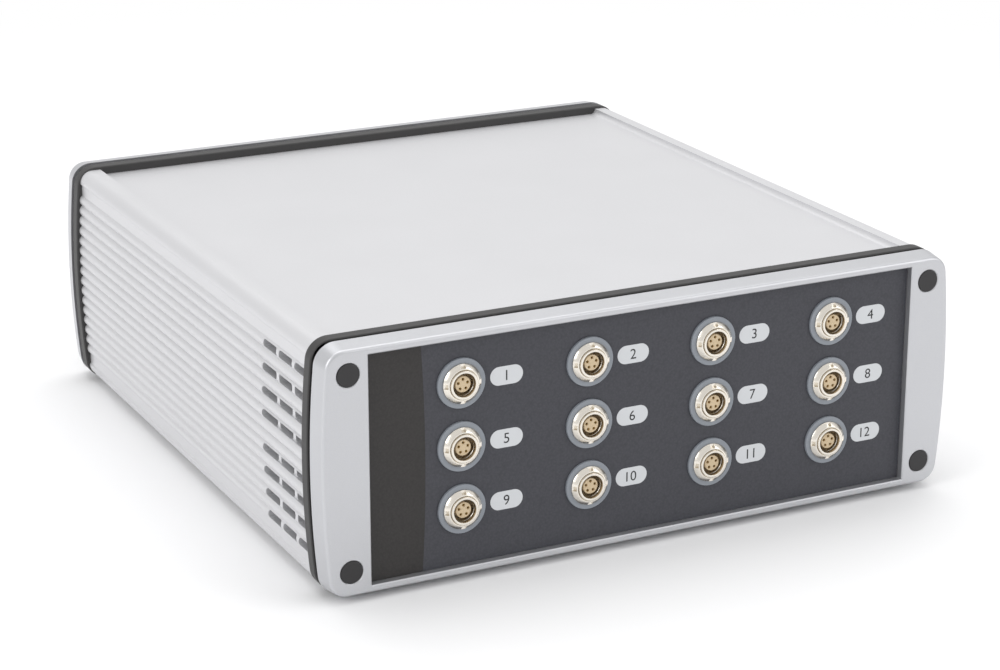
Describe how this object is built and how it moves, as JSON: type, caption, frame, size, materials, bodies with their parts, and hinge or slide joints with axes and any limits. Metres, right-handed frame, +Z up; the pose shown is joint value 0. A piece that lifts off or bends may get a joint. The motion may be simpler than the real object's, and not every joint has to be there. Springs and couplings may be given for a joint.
{
  "type": "potentiostat",
  "caption": "Bench potentiostat in a ribbed extruded aluminium case, with rows of round numbered push-pull sockets on a recessed dark front panel.",
  "frame": {"origin": "bottom centre of the bounding box, on the table between the four feet", "axes": "+Z up, +Y from the socket panel to the rear panel, +X to the right seen from the front"},
  "size_m": [0.2212, 0.2362, 0.0804],
  "materials": {
    "shell_aluminium": "fine bead-blasted, clear anodised",
    "bezel_silver": "silver paint, fine grain",
    "seal_rubber": "matt black rubber",
    "foot_rubber": "matt black rubber",
    "panel_aluminium": "natural anodised",
    "overlay_foil": "anthracite foil with a fine leather grain",
    "rear_panel_paint": "anthracite powder coat",
    "cap_black": "smooth black",
    "steel": "zinc plated",
    "nickel": "nickel-plated brass, matt",
    "washer_grey": "smooth grey",
    "insert_tan": "tan insulating resin",
    "contact_gold": "gold plated",
    "board_green": "glass-fibre board with green varnish",
    "connector_black": "black moulding",
    "inlet_black": "black moulding",
    "data_steel": "tin-plated shell",
    "earth_brass": "nickel plated"
  },
  "bodies": {
    "root": {"back_washers": "washer_grey", "bezel_screws": "steel", "board_screws": "steel", "board_standoffs": "steel", "channel_board_1": "board_green", "channel_board_2": "board_green", "channel_board_3": "board_green", "controller_board": "board_green", "data_socket": "data_steel", "earth_nut": "steel", "earth_socket": "earth_brass", "foot_1": "foot_rubber", "foot_2": "foot_rubber", "foot_3": "foot_rubber", "foot_4": "foot_rubber", "front_bezel": "bezel_silver", "front_connector_1": "connector_black", "front_connector_2": "connector_black", "front_connector_3": "connector_black", "front_overlay": "overlay_foil", "front_panel": "panel_aluminium", "front_seal": "seal_rubber", "panel_screws": "steel", "power_inlet": "inlet_black", "rear_bezel": "bezel_silver", "rear_connector_1": "connector_black", "rear_connector_2": "connector_black", "rear_connector_3": "connector_black", "rear_panel": "rear_panel_paint", "rear_seal": "seal_rubber", "screw_caps": "cap_black", "shell": "shell_aluminium", "socket_board": "board_green", "socket_contacts": "contact_gold", "socket_insert_1": "insert_tan", "socket_insert_10": "insert_tan", "socket_insert_11": "insert_tan", "socket_insert_12": "insert_tan", "socket_insert_2": "insert_tan", "socket_insert_3": "insert_tan", "socket_insert_4": "insert_tan", "socket_insert_5": "insert_tan", "socket_insert_6": "insert_tan", "socket_insert_7": "insert_tan", "socket_insert_8": "insert_tan", "socket_insert_9": "insert_tan", "socket_nuts": "nickel", "socket_shell_1": "nickel", "socket_shell_10": "nickel", "socket_shell_11": "nickel", "socket_shell_12": "nickel", "socket_shell_2": "nickel", "socket_shell_3": "nickel", "socket_shell_4": "nickel", "socket_shell_5": "nickel", "socket_shell_6": "nickel", "socket_shell_7": "nickel", "socket_shell_8": "nickel", "socket_shell_9": "nickel", "socket_washers": "washer_grey"}
  },
  "joints": []
}
